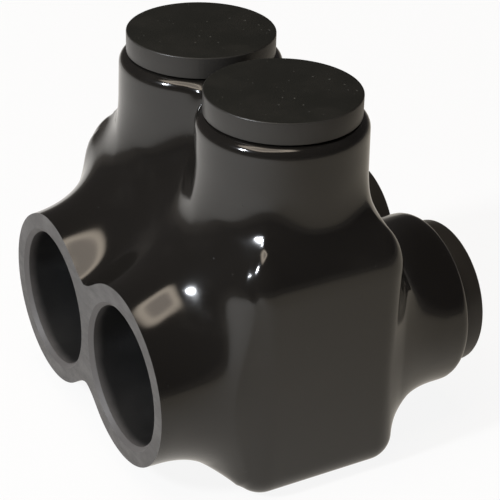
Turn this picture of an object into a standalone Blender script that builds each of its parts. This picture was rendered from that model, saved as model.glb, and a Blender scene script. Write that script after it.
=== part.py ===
"""Insulated multi-tap connector: a two-port aluminium terminal block in a dip-moulded cover.

The frame: X runs along the row of two ports, Y along the wires and Z up. The open ports face -Y,
the plugged ones +Y. The origin is on the bottom face, under the plane of the screws' axes.
"""

import math

import bmesh
import bpy
import numpy as np
from mathutils import Matrix, Vector

# Driving sizes, in metres
PORTS = 2
PORT_PITCH = 0.0317              # between the axes of neighbouring ports
PORT_AXIS_HEIGHT = 0.0220        # from the bottom face to the wire axis

# Cover: outer form
BODY_END_WALL = 0.0210           # from an outer port's axis to the cover's end face
BODY_DEPTH = 0.0340              # along the wires
BODY_HEIGHT = 0.0535             # bottom face to the crown of the shoulders, among the necks' roots
BODY_CORNER_RADIUS = 0.0057      # upright corners
BASE_EDGE_RADIUS = 0.0055
SHOULDER_RADIUS = 0.0115         # upper edges
NECK_TOP_HEIGHT = 0.0691
NECK_ROOT_RADIUS = 0.0162
NECK_LIP_RADIUS = 0.0159
SLEEVE_ROOT_RADIUS = 0.0174
SLEEVE_LIP_RADIUS = 0.0172
SLEEVE_REACH = 0.0344            # from the middle plane to a moulded sleeve's end
TRIMMED_REACH = 0.0328           # the same, where the sleeve is cut open for its wire
TRIM_ALLOWANCE = 0.0030          # what the cut takes off beyond the trimmed face
LIP_ROUNDING = 0.0021            # on the moulded ends
NECK_FILLET = 0.0070             # reach of the blend from necks into the body, along the row
NECK_FACE_FILLET = 0.0085        # the same, along the wires
NECK_FILLING = 1.1               # how soon the angle between neck and body calls for the whole reach
SLEEVE_FILLET = 0.0117           # reach of the blend from sleeves into the body
SLEEVE_CROWN_FILLET = 0.0220     # the same, over the crowns of the open sleeves
CROWN_SPREAD = 2.0               # how narrowly the longer reach keeps to the crown
OPEN_SLEEVE_FILLING = 2.0        # the same as for the necks, between open sleeves and body
WEB_FILLET = 0.0070              # reach of the blend between neighbours
FLOW_REACH = 0.0080              # how far the wet coat flows into a crease

# Cover: inside
OPENING_RADIUS = 0.0135          # sleeves and necks
SLEEVE_MOUTH_CHAMFER = 0.0008
END_SKIN = 0.0030                # cover's wall beside the block's ends
FACE_SKIN = 0.0030               # cover's wall on the block's wire faces
BOTTOM_SKIN = 0.0030
SHOULDER_SKIN = 0.0077           # cover above the block, deeper because the shoulders are so round

# Terminal block
BLOCK_EDGE_CHAMFER = 0.0010
WIRE_BORE_RADIUS = 0.0112
BORE_CHAMFER = 0.0009
SCREW_HOLE_CHAMFER = 0.0008

# Set screws
SCREW_RADIUS = 0.0095
SCREW_LENGTH = 0.0200
SCREW_EDGE = 0.0009
SCREW_POINT_RADIUS = 0.0062      # flat on the clamping end
SCREW_POINT_HEIGHT = 0.0016
HEX_ACROSS_FLATS = 0.0095
HEX_DEPTH = 0.0090
HEX_LEAD_IN = 0.0008
SCREW_START = 0.0006             # clamping end above the wire bore's crown

# Closing plugs
PLUG_HEAD_RADIUS = 0.0145
PLUG_HEAD_HEIGHT = 0.0042
PLUG_HEAD_EDGE = 0.0003
PLUG_SKIRT_DEPTH = 0.0065
PLUG_SKIRT_WALL = 0.0020
PLUG_FLOOR = 0.0022              # below the head's underside, inside the skirt
PLUG_LEAD_IN = 0.0009

# Clearances
SEAT_GAP = 0.0003                # between faces that touch on the real product
BORE_GAP = 0.0003                # round what slides or turns in a hole

# Facets
SKIN_GRID = 0.0011
SKIN_FACES = 6400
ROUND_SIDES = 48
PROFILE_MERGE = 0.00001
PAST_FACE = 0.0010               # how far a cutter runs past the face it opens
SPOUT_SINK = 0.0080              # how far a neck or sleeve starts below the body's face
PROBE = 0.00005                  # step that measures how a distance changes
EVENING_ROUNDS = 5               # rounds that even out the skin's points
SETTLING_ROUNDS = 3              # rounds that only bring them onto the skin

# Worked out from the sizes above
PORT_PLACES = [PORT_PITCH * (index - (PORTS - 1) / 2) for index in range(PORTS)]
BODY_HALF_WIDTH = max(PORT_PLACES) + BODY_END_WALL
BODY_HALF_DEPTH = BODY_DEPTH / 2
OPEN_SLEEVE_REACH = TRIMMED_REACH + TRIM_ALLOWANCE
FLOW_ROUNDS = round((FLOW_REACH / SKIN_GRID) ** 2)
BLOCK_LOW = Vector((-BODY_HALF_WIDTH + END_SKIN, -BODY_HALF_DEPTH + FACE_SKIN, BOTTOM_SKIN))
BLOCK_HIGH = Vector((BODY_HALF_WIDTH - END_SKIN, BODY_HALF_DEPTH - FACE_SKIN, BODY_HEIGHT - SHOULDER_SKIN))
SCREW_HOLE_RADIUS = SCREW_RADIUS + BORE_GAP
SCREW_LOW = PORT_AXIS_HEIGHT + WIRE_BORE_RADIUS + SCREW_START
PLUG_SKIRT_RADIUS = OPENING_RADIUS - BORE_GAP
ALONG_WIRES = (math.radians(90), 0.0, 0.0)     # turns Z to -Y, towards the open ports
TOWARDS_REAR = (math.radians(-90), 0.0, 0.0)   # turns Z to +Y


def clear_scene():
    """Start from an empty scene."""
    for item in list(bpy.data.objects):
        bpy.data.objects.remove(item, do_unlink=True)


def make_collection(name):
    collection = bpy.data.collections.new(name)
    bpy.context.scene.collection.children.link(collection)
    return collection


def make_material(name, colour, roughness, metallic):
    material = bpy.data.materials.new(name)
    material.use_nodes = True
    material.diffuse_color = (*colour, 1.0)
    shader = material.node_tree.nodes["Principled BSDF"]
    shader.inputs["Base Color"].default_value = (*colour, 1.0)
    shader.inputs["Roughness"].default_value = roughness
    shader.inputs["Metallic"].default_value = metallic
    return material


def add_mesh_object(name, shape, collection, material=None):
    """Turn a bmesh into an object in a collection."""
    mesh = bpy.data.meshes.new(name)
    shape.to_mesh(mesh)
    shape.free()
    if material:
        mesh.materials.append(material)
    item = bpy.data.objects.new(name, mesh)
    collection.objects.link(item)
    return item


def settle_modifiers(item):
    """Keep the shape that an object's modifiers give, and drop the modifiers."""
    view = bpy.context.evaluated_depsgraph_get()
    mesh = bpy.data.meshes.new_from_object(item.evaluated_get(view))
    mesh.name = item.name
    item.modifiers.clear()
    item.data = mesh


def shade_round(item, sharp_degrees):
    item.data.shade_smooth()
    item.data.set_sharp_from_angle(angle=math.radians(sharp_degrees))


def add_box(shape, low, high):
    """Add a box between two corners to a bmesh."""
    place = Matrix.Translation((Vector(low) + Vector(high)) / 2)
    size = Matrix.Diagonal((*(Vector(high) - Vector(low)), 1.0))
    bmesh.ops.create_cube(shape, size=1.0, matrix=place @ size)


def add_cylinder(shape, start, end, start_radius, end_radius=None, sides=ROUND_SIDES):
    """Add a cylinder or a cone between two points to a bmesh."""
    start, end = Vector(start), Vector(end)
    axis = end - start
    turn = Vector((0, 0, 1)).rotation_difference(axis.normalized()).to_matrix().to_4x4()
    place = Matrix.Translation((start + end) / 2) @ turn
    bmesh.ops.create_cone(shape, cap_ends=True, segments=sides, radius1=start_radius,
                          radius2=start_radius if end_radius is None else end_radius,
                          depth=axis.length, matrix=place)


def mark_cutter(item):
    """An object that only cuts is drawn as wire, and never rendered."""
    item.hide_render = True
    item.display_type = "WIRE"
    return item


def add_cutter(name, shape, collection):
    return mark_cutter(add_mesh_object(name, shape, collection))


def cut(item, cutter, name):
    step = item.modifiers.new(name, "BOOLEAN")
    step.operation = "DIFFERENCE"
    step.solver = "EXACT"
    step.object = cutter


def turned_object(name, profile, collection, material, sides=ROUND_SIDES):
    """Turn a profile of (radius, height) points, listed down the outer side, about Z."""
    shape = bmesh.new()
    corners = [shape.verts.new((radius, 0.0, height)) for radius, height in profile]
    for first, second in zip(corners, corners[1:]):
        shape.edges.new((first, second))
    item = add_mesh_object(name, shape, collection, material)
    turn = item.modifiers.new("turn", "SCREW")
    turn.steps = sides
    turn.render_steps = sides
    turn.use_merge_vertices = True
    turn.merge_threshold = PROFILE_MERGE
    return item


def flared_cutter(name, radius, low, high, collection, flare_low=0.0, flare_high=0.0):
    """Cutter for a round hole about Z between two faces, with a chamfer at each face that has a flare."""
    high_end = high + PAST_FACE if flare_high else high
    low_end = low - PAST_FACE if flare_low else low
    profile = [(0.0, high_end), (radius + (flare_high + PAST_FACE if flare_high else 0.0), high_end)]
    if flare_high:
        profile.append((radius, high - flare_high))
    if flare_low:
        profile.append((radius, low + flare_low))
    profile += [(radius + (flare_low + PAST_FACE if flare_low else 0.0), low_end), (0.0, low_end)]
    return mark_cutter(turned_object(name, profile, collection, None))


def blend(first, second, reach):
    """Union of two distance fields with a fillet that grows with its reach."""
    overlap = np.maximum(reach - np.abs(first - second), 0.0) / reach
    return np.minimum(first, second) - overlap * overlap * reach / 4


def slope_of(field, points):
    """Direction in which a distance field grows fastest, found by probing to each side."""
    slope = np.empty_like(points)
    for axis in range(3):
        step = np.zeros(3)
        step[axis] = PROBE
        slope[:, axis] = (field(points + step) - field(points - step)) / (2 * PROBE)
    return slope


def unit(vectors):
    return vectors / np.maximum(np.linalg.norm(vectors, axis=1), PROBE)[:, None]


def round_corner(first, second, radius):
    """Distance to where two faces meet, given the distance to each, with the corner rounded."""
    first, second = first + radius, second + radius
    past = np.hypot(np.maximum(first, 0.0), np.maximum(second, 0.0))
    return np.minimum(np.maximum(first, second), 0.0) + past - radius


def body_distance(points):
    x, y, z = points.T
    walls = round_corner(np.abs(x) - BODY_HALF_WIDTH, np.abs(y) - BODY_HALF_DEPTH, BODY_CORNER_RADIUS)
    edge_radius = np.where(z > BODY_HEIGHT / 2, SHOULDER_RADIUS, BASE_EDGE_RADIUS)
    return round_corner(walls, np.maximum(z - BODY_HEIGHT, -z), edge_radius)


def side_of_row(from_axes, along, root_at, root_radius, end_at, end_radius):
    """Distance to the sides of a row of round tapered spouts, with a web between neighbours."""
    slope = (end_radius - root_radius) / (end_at - root_at)
    radius = root_radius + slope * (np.maximum(along, root_at) - root_at)
    row = None
    for from_axis in from_axes:
        side = (from_axis - radius) / math.hypot(1.0, slope)
        row = side if row is None else blend(row, side, WEB_FILLET)
    return row


def neck_side(points):
    x, y, z = points.T
    from_axes = [np.hypot(x - place, y) for place in PORT_PLACES]
    return side_of_row(from_axes, z, BODY_HEIGHT, NECK_ROOT_RADIUS, NECK_TOP_HEIGHT, NECK_LIP_RADIUS)


def sleeve_side(points, along, reach):
    x, y, z = points.T
    from_axes = [np.hypot(x - place, z - PORT_AXIS_HEIGHT) for place in PORT_PLACES]
    return side_of_row(from_axes, along, BODY_HALF_DEPTH, SLEEVE_ROOT_RADIUS, reach, SLEEVE_LIP_RADIUS)


def open_sleeve_side(points):
    return sleeve_side(points, -points[:, 1], OPEN_SLEEVE_REACH)


def plugged_sleeve_side(points):
    return sleeve_side(points, points[:, 1], SLEEVE_REACH)


def share_of_square(first, second):
    """Share of the first length's square in the sum of both squares."""
    return first ** 2 / (first ** 2 + second ** 2 + PROBE ** 2)


def spout_fillets(points):
    """Reach of the blends of necks and open sleeves, which changes with the direction round their axes."""
    x, y, z = points.T
    from_nearest = np.abs(x[:, None] - np.array(PORT_PLACES)).min(axis=1)
    facing_share = share_of_square(y, from_nearest)
    necks = NECK_FILLET + (NECK_FACE_FILLET - NECK_FILLET) * facing_share
    beyond_row = np.maximum(np.abs(x) - max(PORT_PLACES), 0.0)
    above_axis = np.maximum(z - PORT_AXIS_HEIGHT, 0.0)
    crown_share = share_of_square(above_axis, beyond_row) ** CROWN_SPREAD
    open_sleeves = SLEEVE_FILLET + (SLEEVE_CROWN_FILLET - SLEEVE_FILLET) * crown_share
    return necks, open_sleeves


def skin_distance(points):
    """Distance to the cover's outer skin, which fills inner corners as a dip does.

    Two forms are filled where they meet at an angle, and left alone where they run side by side.
    """
    x, y, z = points.T
    neck_fillets, open_sleeve_fillets = spout_fillets(points)
    spouts = (
        (neck_side, z, BODY_HEIGHT, NECK_TOP_HEIGHT, neck_fillets, NECK_FILLING),
        (open_sleeve_side, -y, BODY_HALF_DEPTH, OPEN_SLEEVE_REACH, open_sleeve_fillets, OPEN_SLEEVE_FILLING),
        (plugged_sleeve_side, y, BODY_HALF_DEPTH, SLEEVE_REACH, SLEEVE_FILLET, 1.0),
    )
    skin = body_distance(points)
    facing = unit(slope_of(body_distance, points))
    for side, along, root, end, fillet, filling in spouts:
        spout = round_corner(side(points), np.maximum(along - end, root - SPOUT_SINK - along), LIP_ROUNDING)
        spout_facing = unit(slope_of(side, points))
        angle_share = np.clip(filling * (1.0 - (facing * spout_facing).sum(axis=1)), 0.0, 1.0)
        reach = fillet * angle_share + PROBE
        spout_share = np.clip(0.5 + 0.5 * (skin - spout) / reach, 0.0, 1.0)[:, None]
        skin = blend(skin, spout, reach)
        facing = unit(facing * (1.0 - spout_share) + spout_facing * spout_share)
    return skin


def settle_on_skin(mesh):
    """Move a mesh's points onto the skin, evening out their spacing, then let the wet coat flow."""
    points = np.empty(len(mesh.vertices) * 3)
    mesh.vertices.foreach_get("co", points)
    points = points.reshape(-1, 3)
    edges = np.empty(len(mesh.edges) * 2, dtype=int)
    mesh.edges.foreach_get("vertices", edges)
    first, second = edges.reshape(-1, 2).T
    count = np.bincount(first, minlength=len(points)) + np.bincount(second, minlength=len(points))

    def to_neighbours(places):
        middle = np.zeros_like(places)
        np.add.at(middle, first, places[second])
        np.add.at(middle, second, places[first])
        return middle / count[:, None] - places

    for turn in range(EVENING_ROUNDS + SETTLING_ROUNDS):
        if turn < EVENING_ROUNDS:
            points += 0.5 * to_neighbours(points)
        slope = slope_of(skin_distance, points)
        steepness = np.maximum((slope ** 2).sum(axis=1), 0.25)
        points -= (skin_distance(points) / steepness)[:, None] * slope

    outwards = unit(slope_of(skin_distance, points))
    build_up = np.zeros(len(points))
    for turn in range(FLOW_ROUNDS):
        pull = (to_neighbours(points + build_up[:, None] * outwards) * outwards).sum(axis=1)
        build_up = np.maximum(build_up + 0.5 * pull, 0.0)
    points += build_up[:, None] * outwards
    mesh.vertices.foreach_set("co", points.ravel())


def add_block_form(shape, gap=0.0):
    """Add the block's chamfered bar to a bmesh, larger all round by a gap."""
    grown = Vector((gap, gap, gap))
    add_box(shape, BLOCK_LOW - grown, BLOCK_HIGH + grown)
    bmesh.ops.bevel(shape, geom=shape.edges[:], offset=BLOCK_EDGE_CHAMFER, offset_type="OFFSET",
                    segments=1, profile=0.5, affect="EDGES")


def make_cover(parts, cutters, material):
    """Insulating cover: body, necks and sleeves as one dip-moulded skin, hollow to fit the block."""
    shape = bmesh.new()
    add_box(shape, (-BODY_HALF_WIDTH, -BODY_HALF_DEPTH, 0.0), (BODY_HALF_WIDTH, BODY_HALF_DEPTH, BODY_HEIGHT))
    for place in PORT_PLACES:
        add_cylinder(shape, (place, 0.0, PORT_AXIS_HEIGHT), (place, 0.0, NECK_TOP_HEIGHT), NECK_ROOT_RADIUS)
        add_cylinder(shape, (place, -OPEN_SLEEVE_REACH, PORT_AXIS_HEIGHT),
                     (place, SLEEVE_REACH, PORT_AXIS_HEIGHT), SLEEVE_LIP_RADIUS)
    cover = add_mesh_object("insulating_cover", shape, parts, material)
    grid = cover.modifiers.new("even skin", "REMESH")
    grid.mode = "VOXEL"
    grid.voxel_size = SKIN_GRID
    settle_modifiers(cover)
    settle_on_skin(cover.data)
    fewer = cover.modifiers.new("fewer faces", "DECIMATE")
    fewer.ratio = SKIN_FACES / (2 * len(cover.data.polygons))
    settle_modifiers(cover)

    shape = bmesh.new()
    far = BODY_HALF_WIDTH * 2
    add_box(shape, (-far, -far * 2, -far), (far, -TRIMMED_REACH, far * 2))
    cut(cover, add_cutter("sleeve_trimmer", shape, cutters), "trimmed sleeves")

    shape = bmesh.new()
    add_block_form(shape, SEAT_GAP)
    cut(cover, add_cutter("block_pocket", shape, cutters), "block pocket")
    for index, place in enumerate(PORT_PLACES, start=1):
        sleeve_bore = flared_cutter(f"sleeve_bore_{index}", OPENING_RADIUS, -SLEEVE_REACH - PAST_FACE,
                                    TRIMMED_REACH, cutters, flare_high=SLEEVE_MOUTH_CHAMFER)
        sleeve_bore.location = (place, 0.0, PORT_AXIS_HEIGHT)
        sleeve_bore.rotation_euler = ALONG_WIRES
        cut(cover, sleeve_bore, f"sleeve bore {index}")
        neck_bore = flared_cutter(f"neck_bore_{index}", OPENING_RADIUS, PORT_AXIS_HEIGHT,
                                  NECK_TOP_HEIGHT + PAST_FACE, cutters)
        neck_bore.location = (place, 0.0, 0.0)
        cut(cover, neck_bore, f"neck bore {index}")
    return cover


def make_block(parts, cutters, material):
    """Terminal block: a sawn bar with a wire bore through each port and a screw hole above it."""
    shape = bmesh.new()
    add_block_form(shape)
    block = add_mesh_object("terminal_block", shape, parts, material)
    for index, place in enumerate(PORT_PLACES, start=1):
        wire_bore = flared_cutter(f"wire_bore_{index}", WIRE_BORE_RADIUS, BLOCK_LOW.y, BLOCK_HIGH.y, cutters,
                                  flare_low=BORE_CHAMFER, flare_high=BORE_CHAMFER)
        wire_bore.location = (place, 0.0, PORT_AXIS_HEIGHT)
        wire_bore.rotation_euler = ALONG_WIRES
        cut(block, wire_bore, f"wire bore {index}")
        screw_hole = flared_cutter(f"screw_hole_{index}", SCREW_HOLE_RADIUS, PORT_AXIS_HEIGHT, BLOCK_HIGH.z,
                                   cutters, flare_high=SCREW_HOLE_CHAMFER)
        screw_hole.location = (place, 0.0, 0.0)
        cut(block, screw_hole, f"screw hole {index}")
    return block


def make_set_screw(index, place, parts, cutters, material):
    """Set screw with a hexagon socket, backed off until its point is clear of the wire bore."""
    top = SCREW_LENGTH
    profile = [
        (0.0, top),
        (SCREW_RADIUS - SCREW_EDGE, top),
        (SCREW_RADIUS, top - SCREW_EDGE),
        (SCREW_RADIUS, SCREW_POINT_HEIGHT),
        (SCREW_POINT_RADIUS, 0.0),
        (0.0, 0.0),
    ]
    screw = turned_object(f"set_screw_{index}", profile, parts, material)
    screw.location = (place, 0.0, SCREW_LOW)
    shape = bmesh.new()
    corner_radius = HEX_ACROSS_FLATS / math.sqrt(3)
    add_cylinder(shape, (0, 0, top - HEX_DEPTH), (0, 0, top + HEX_DEPTH), corner_radius, sides=6)
    socket = add_cutter(f"hex_socket_{index}", shape, cutters)
    socket.parent = screw
    cut(screw, socket, "hexagon socket")
    shape = bmesh.new()
    add_cylinder(shape, (0, 0, top - HEX_LEAD_IN), (0, 0, top + HEX_LEAD_IN),
                 corner_radius - HEX_LEAD_IN, corner_radius + HEX_LEAD_IN)
    lead_in = add_cutter(f"hex_lead_in_{index}", shape, cutters)
    lead_in.parent = screw
    cut(screw, lead_in, "lead-in")
    return screw


def make_plug(name, parts, material):
    """Closing plug: a disc head on a hollow skirt. Its seat is at z = 0, with the head above."""
    radius, top = PLUG_HEAD_RADIUS, PLUG_HEAD_HEIGHT
    profile = [
        (0.0, top),
        (radius - PLUG_HEAD_EDGE, top),
        (radius, top - PLUG_HEAD_EDGE),
        (radius, 0.0),
        (PLUG_SKIRT_RADIUS, 0.0),
        (PLUG_SKIRT_RADIUS, -PLUG_SKIRT_DEPTH + PLUG_LEAD_IN),
        (PLUG_SKIRT_RADIUS - PLUG_LEAD_IN, -PLUG_SKIRT_DEPTH),
        (PLUG_SKIRT_RADIUS - PLUG_SKIRT_WALL, -PLUG_SKIRT_DEPTH),
        (PLUG_SKIRT_RADIUS - PLUG_SKIRT_WALL, -PLUG_FLOOR),
        (0.0, -PLUG_FLOOR),
    ]
    return turned_object(name, profile, parts, material)


def main():
    clear_scene()
    parts = make_collection("insulated_multi_tap_connector")
    cutters = make_collection("cutters")
    gloss_black = make_material("gloss_black_plastisol", (0.014, 0.014, 0.015), 0.15, 0.0)
    matte_black = make_material("matte_black_plastic", (0.020, 0.020, 0.019), 0.60, 0.0)
    aluminium = make_material("sawn_aluminium", (0.74, 0.75, 0.77), 0.38, 1.0)
    bright_aluminium = make_material("turned_aluminium", (0.80, 0.81, 0.82), 0.28, 1.0)

    shade_round(make_cover(parts, cutters, gloss_black), 40)
    make_block(parts, cutters, aluminium)
    for index, place in enumerate(PORT_PLACES, start=1):
        make_set_screw(index, place, parts, cutters, bright_aluminium)
        screw_plug = make_plug(f"screw_plug_{index}", parts, matte_black)
        screw_plug.location = (place, 0.0, NECK_TOP_HEIGHT + SEAT_GAP)
        port_plug = make_plug(f"port_plug_{index}", parts, matte_black)
        port_plug.location = (place, SLEEVE_REACH + SEAT_GAP, PORT_AXIS_HEIGHT)
        port_plug.rotation_euler = TOWARDS_REAR


main()
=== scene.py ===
# %% [markdown]
# # An insulated multi-tap connector
#
# A thick aluminium block joins large cables inside a glossy black cover. The cover is made by dipping: a hot
# former goes into liquid vinyl, and the coat that clings to it fills every inner corner and rounds every
# edge. Two necks give a key access to the set screws, and four sleeves take cables. Round plugs close the
# openings that aren't in use.
#
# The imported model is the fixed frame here. It says where each piece is and how it moves, and this lesson
# makes the surfaces that the eye sees.

# %% Load the frame
import math

import bmesh
import bpy
import numpy as np
from mathutils import Matrix, Vector


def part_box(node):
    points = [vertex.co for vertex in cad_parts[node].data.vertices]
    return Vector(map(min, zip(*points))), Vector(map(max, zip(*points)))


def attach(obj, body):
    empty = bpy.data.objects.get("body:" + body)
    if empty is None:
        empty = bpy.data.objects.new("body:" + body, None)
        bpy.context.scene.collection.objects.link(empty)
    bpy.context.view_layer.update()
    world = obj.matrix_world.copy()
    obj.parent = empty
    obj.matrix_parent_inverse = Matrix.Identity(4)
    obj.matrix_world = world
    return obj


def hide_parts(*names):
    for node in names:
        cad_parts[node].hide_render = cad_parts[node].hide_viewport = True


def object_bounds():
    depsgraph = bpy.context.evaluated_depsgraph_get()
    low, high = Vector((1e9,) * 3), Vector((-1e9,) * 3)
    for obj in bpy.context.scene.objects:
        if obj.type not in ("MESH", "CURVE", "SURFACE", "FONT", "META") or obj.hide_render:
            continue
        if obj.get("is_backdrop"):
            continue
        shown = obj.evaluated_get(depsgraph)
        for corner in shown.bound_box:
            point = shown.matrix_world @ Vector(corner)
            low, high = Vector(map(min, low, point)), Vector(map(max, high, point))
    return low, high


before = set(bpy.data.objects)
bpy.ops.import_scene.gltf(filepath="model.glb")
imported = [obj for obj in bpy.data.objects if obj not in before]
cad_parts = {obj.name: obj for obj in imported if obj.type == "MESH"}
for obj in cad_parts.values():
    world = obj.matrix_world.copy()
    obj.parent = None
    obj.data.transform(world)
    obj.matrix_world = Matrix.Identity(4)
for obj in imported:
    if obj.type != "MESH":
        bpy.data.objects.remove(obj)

cad_low, cad_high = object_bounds()
cover_low, cover_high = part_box("insulating_cover")
print("solid model's box in mm:", [round(1000 * size, 1) for size in cad_high - cad_low])

# %% [markdown]
# ## The camera
#
# The picture was taken with a long lens from about a third of a metre, a little above the object. The angles
# below were found by fitting a camera to the round ends of the plugs and sleeves, which show as ellipses.
# A long lens keeps the ellipses nearly alike, and the small roll is kept, because the object leans as much.

# %% Set up the camera
AZIMUTH = math.radians(60.2)
ELEVATION = math.radians(29.14)
ROLL = math.radians(1.67)
DISTANCE = 0.3403
SENSOR = 0.036
IMAGE_PIXELS = 500
FOCAL_PIXELS = 1721.5
AIM_HEIGHT = 0.030
AIM_RIGHT = 0.00279
AIM_UP = 0.00248

towards_camera = Vector((
    math.sin(AZIMUTH) * math.cos(ELEVATION),
    -math.cos(AZIMUTH) * math.cos(ELEVATION),
    math.sin(ELEVATION),
))
level_right = Vector((math.cos(AZIMUTH), math.sin(AZIMUTH), 0.0))
level_up = towards_camera.cross(level_right)
camera_right = math.cos(ROLL) * level_right + math.sin(ROLL) * level_up
camera_up = math.cos(ROLL) * level_up - math.sin(ROLL) * level_right
aim = Vector((0.0, 0.0, AIM_HEIGHT)) + AIM_RIGHT * camera_right + AIM_UP * camera_up

camera_data = bpy.data.cameras.new("camera")
camera_data.lens = 1000 * SENSOR * FOCAL_PIXELS / IMAGE_PIXELS
camera_data.sensor_width = 1000 * SENSOR
camera_data.clip_start = 0.01
camera = bpy.data.objects.new("camera", camera_data)
bpy.context.scene.collection.objects.link(camera)
turn = Matrix((camera_right, camera_up, towards_camera)).transposed()
camera.matrix_world = Matrix.Translation(aim + DISTANCE * towards_camera) @ turn.to_4x4()
bpy.context.scene.camera = camera
print("camera at", [round(place, 3) for place in camera.location])
print("lens:", round(camera_data.lens), "mm")

# %% [markdown]
# ## Sums on shader sockets
#
# A procedural material is a graph of nodes. Written out node by node it is long and hard to read, so this
# small class wraps one output socket and lets Python's own signs add the Math nodes. `node` makes any other
# node: its settings go in first, then the values or links of its input sockets.

# %% Write shader maths as Python expressions
class Signal:
    """One output socket of a material's graph, which can be used in sums."""

    def __init__(self, graph, socket):
        self.graph = graph
        self.socket = socket

    def math(self, operation, *values):
        return self.graph.node("ShaderNodeMath", {"operation": operation}, dict(enumerate(values)))

    def __add__(self, other):
        return self.math("ADD", self, other)

    __radd__ = __add__

    def __sub__(self, other):
        return self.math("SUBTRACT", self, other)

    def __rsub__(self, other):
        return self.math("SUBTRACT", other, self)

    def __mul__(self, other):
        return self.math("MULTIPLY", self, other)

    __rmul__ = __mul__

    def clamp(self):
        return self.math("MAXIMUM", self.math("MINIMUM", self, 1.0), 0.0)

    def magnitude(self):
        return self.math("ABSOLUTE", self)


class Graph:
    """The nodes of one material or world."""

    def __init__(self, owner):
        owner.use_nodes = True
        self.tree = owner.node_tree
        self.tree.nodes.clear()

    def node(self, kind, settings=None, sockets=None, output=0):
        made = self.tree.nodes.new(kind)
        for name, value in (settings or {}).items():
            setattr(made, name, value)
        for name, value in (sockets or {}).items():
            socket = self.find_input(made, name)
            if isinstance(value, Signal):
                self.tree.links.new(value.socket, socket)
            else:
                socket.default_value = value
        outputs = [each for each in made.outputs if each.enabled]
        if not outputs:
            return None
        return Signal(self, outputs[output] if isinstance(output, int) else made.outputs[output])

    @staticmethod
    def find_input(made, name):
        """A Mix node keeps one socket of each name for every kind of data, and only one of them is in use."""
        if isinstance(name, int):
            return made.inputs[name]
        return next(each for each in made.inputs if each.name == name and each.enabled)

    def place(self, stretch=(1.0, 1.0, 1.0)):
        """Position on the piece in metres, so that a pattern moves with its piece."""
        place = self.node("ShaderNodeTexCoord", output="Object")
        return self.node("ShaderNodeVectorMath", {"operation": "MULTIPLY"}, {0: place, 1: stretch})

    def along(self, axis):
        return self.node("ShaderNodeSeparateXYZ", {}, {0: self.place()}, axis)

    def noise(self, size, detail=2.0, roughness=0.5, stretch=(1.0, 1.0, 1.0)):
        """Smooth random values round 0.5, with lumps of about one size in metres."""
        sockets = {
            "Vector": self.place(stretch),
            "Scale": 1.0 / size,
            "Detail": detail,
            "Roughness": roughness,
        }
        return self.node("ShaderNodeTexNoise", {}, sockets)

    def step(self, value, start, end):
        """Rise smoothly from 0 to 1 as the value goes from start to end."""
        sockets = {"Value": value, "From Min": start, "From Max": end, "To Min": 0.0, "To Max": 1.0}
        return self.node("ShaderNodeMapRange", {"interpolation_type": "SMOOTHSTEP"}, sockets)

    def mix(self, share, first, second):
        """Blend two colours."""
        return self.node("ShaderNodeMix", {"data_type": "RGBA"}, {"Factor": share, "A": first, "B": second})

    def bump(self, height, depth):
        """Turn heights between 0 and 1 into bumps of a depth in metres."""
        return self.node("ShaderNodeBump", {}, {"Height": height, "Distance": depth, "Strength": 1.0})


def make_material(name, describe):
    """Make a material, and let a function fill its graph and return the Principled sockets."""
    material = bpy.data.materials.new(name)
    graph = Graph(material)
    shader = graph.node("ShaderNodeBsdfPrincipled", {}, describe(graph))
    graph.node("ShaderNodeOutputMaterial", {}, {"Surface": shader})
    return material


def grey(level):
    return (level, level, level, 1.0)


print("shader helpers ready")

# %% [markdown]
# ## The vinyl
#
# Dipped vinyl sets with a wet shine. It isn't quite even: the coat has slow swells from draining, faint
# smears from handling and a few specks of dust. The swells are a low bump a centimetre wide, and only the
# reflections show them.

# %% Make the skin's material
VINYL_BLACK = (0.0088, 0.0080, 0.0070, 1.0)
VINYL_SMEARED = (0.0170, 0.0158, 0.0140, 1.0)
VINYL_IOR = 1.62
SWELL_SIZE = 0.012
SWELL_DEPTH = 0.00005
RIPPLE_SIZE = 0.0030
SMEAR_SIZE = 0.014
SMEAR_STRETCH = (1.0, 0.6, 1.6)
DUST_SIZE = 0.0008


def gloss_vinyl(graph):
    swells = graph.noise(SWELL_SIZE, detail=0.0)
    ripples = graph.noise(RIPPLE_SIZE, detail=1.0)
    smudges = graph.noise(SMEAR_SIZE, detail=5.0, roughness=0.65, stretch=SMEAR_STRETCH)
    smears = graph.step(smudges, 0.50, 0.72)
    dust = graph.step(graph.noise(DUST_SIZE, detail=0.0), 0.86, 0.90)
    return {
        "Base Color": graph.mix((0.4 * smears + 0.6 * dust).clamp(), VINYL_BLACK, VINYL_SMEARED),
        "Roughness": 0.11 + 0.07 * smears + 0.20 * dust,
        "IOR": VINYL_IOR,
        "Normal": graph.bump(0.88 * swells + 0.12 * ripples, SWELL_DEPTH),
    }


GLOSS_VINYL = make_material("gloss vinyl", gloss_vinyl)
print("skin:", GLOSS_VINYL.name)

# %% [markdown]
# Where a knife cut the sleeves open, the same vinyl is matte and lighter, with fine drag lines. The lines are
# noise that is squeezed upwards and stretched sideways, along the cut.

# %% Make the cut faces' material
CUT_DARK = (0.058, 0.056, 0.055, 1.0)
CUT_PALE = (0.112, 0.108, 0.106, 1.0)
DRAG_SIZE = 0.0030
DRAG_STRETCH = (0.6, 1.0, 3.0)
CUT_GRAIN_SIZE = 0.00035
SCUFF_SIZE = 0.0045
CUT_DEPTH = 0.00007


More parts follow.
